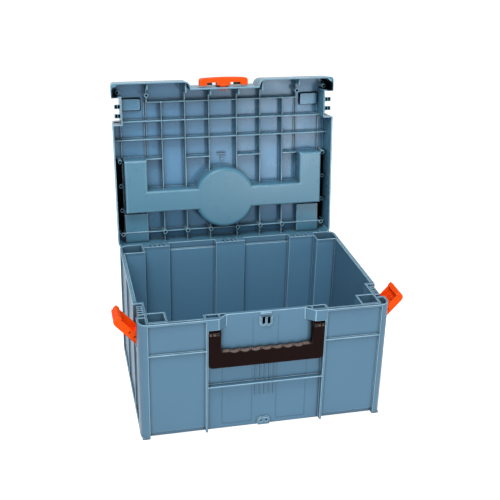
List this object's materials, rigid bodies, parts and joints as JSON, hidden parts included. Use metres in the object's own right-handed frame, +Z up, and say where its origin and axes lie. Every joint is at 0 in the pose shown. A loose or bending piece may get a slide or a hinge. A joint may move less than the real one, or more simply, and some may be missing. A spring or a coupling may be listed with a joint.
{
  "type": "stackable storage case",
  "caption": "Stackable plastic storage case with an open hinged lid, a turning front lock, side latches, a front carrying handle and a folding lid handle.",
  "frame": {"origin": "middle of the base's underside, on the face that the case stands on", "axes": "+X to the right seen from the front, +Y to the rear where the hinge is, +Z up"},
  "size_m": [0.4626, 0.391, 0.4845],
  "materials": {
    "base_shell": "satin moulded plastic, blue grey",
    "lid_shell": "satin moulded plastic, blue grey",
    "lock_knob": "satin moulded plastic, orange",
    "side_latch_left": "satin moulded plastic, orange",
    "side_latch_right": "satin moulded plastic, orange",
    "front_handle": "satin moulded plastic, very dark brown",
    "lid_handle": "satin moulded plastic, very dark brown",
    "hinge_pin_left": "drawn pin",
    "hinge_pin_centre": "drawn pin",
    "hinge_pin_right": "drawn pin",
    "front_handle_pin_left": "drawn pin",
    "front_handle_pin_right": "drawn pin",
    "lid_handle_pin_left": "drawn pin",
    "lid_handle_pin_right": "drawn pin",
    "latch_pin_left": "drawn pin",
    "latch_pin_right": "drawn pin"
  },
  "bodies": {
    "base": {"base_shell": "base_shell", "hinge_pin_left": "hinge_pin_left", "hinge_pin_centre": "hinge_pin_centre", "hinge_pin_right": "hinge_pin_right", "front_handle_pin_left": "front_handle_pin_left", "front_handle_pin_right": "front_handle_pin_right", "latch_pin_left": "latch_pin_left", "latch_pin_right": "latch_pin_right"},
    "lid": {"lid_shell": "lid_shell", "lid_handle_pin_left": "lid_handle_pin_left", "lid_handle_pin_right": "lid_handle_pin_right"},
    "lock": {"lock_knob": "lock_knob"},
    "latch_left": {"side_latch_left": "side_latch_left"},
    "latch_right": {"side_latch_right": "side_latch_right"},
    "carry_handle": {"front_handle": "front_handle"},
    "top_handle": {"lid_handle": "lid_handle"}
  },
  "joints": [
    {"name": "lid_hinge", "type": "hinge", "parent": "base", "child": "lid", "pos_m": [0, 0.148, 0.1906], "axis": [1, 0, 0], "range_deg": [0, 96.7]},
    {"name": "front_lock", "type": "hinge", "parent": "lid", "child": "lock", "pos_m": [0, 0.21379, 0.46782], "axis": [0, 0.1167, 0.9932], "range_deg": [0, 180]},
    {"name": "side_latch_left", "type": "hinge", "parent": "base", "child": "latch_left", "pos_m": [-0.191, -0.098, 0.16], "axis": [0, 1, 0], "range_deg": [0, 42]},
    {"name": "side_latch_right", "type": "hinge", "parent": "base", "child": "latch_right", "pos_m": [0.191, -0.098, 0.16], "axis": [0, 1, 0], "range_deg": [-42, 0]},
    {"name": "front_handle", "type": "hinge", "parent": "base", "child": "carry_handle", "pos_m": [0, -0.143, 0.18], "axis": [1, 0, 0], "range_deg": [-90, 0]},
    {"name": "lid_handle", "type": "hinge", "parent": "lid", "child": "top_handle", "pos_m": [0, 0.21469, 0.32977], "axis": [1, 0, 0], "range_deg": [0, 90]}
  ]
}
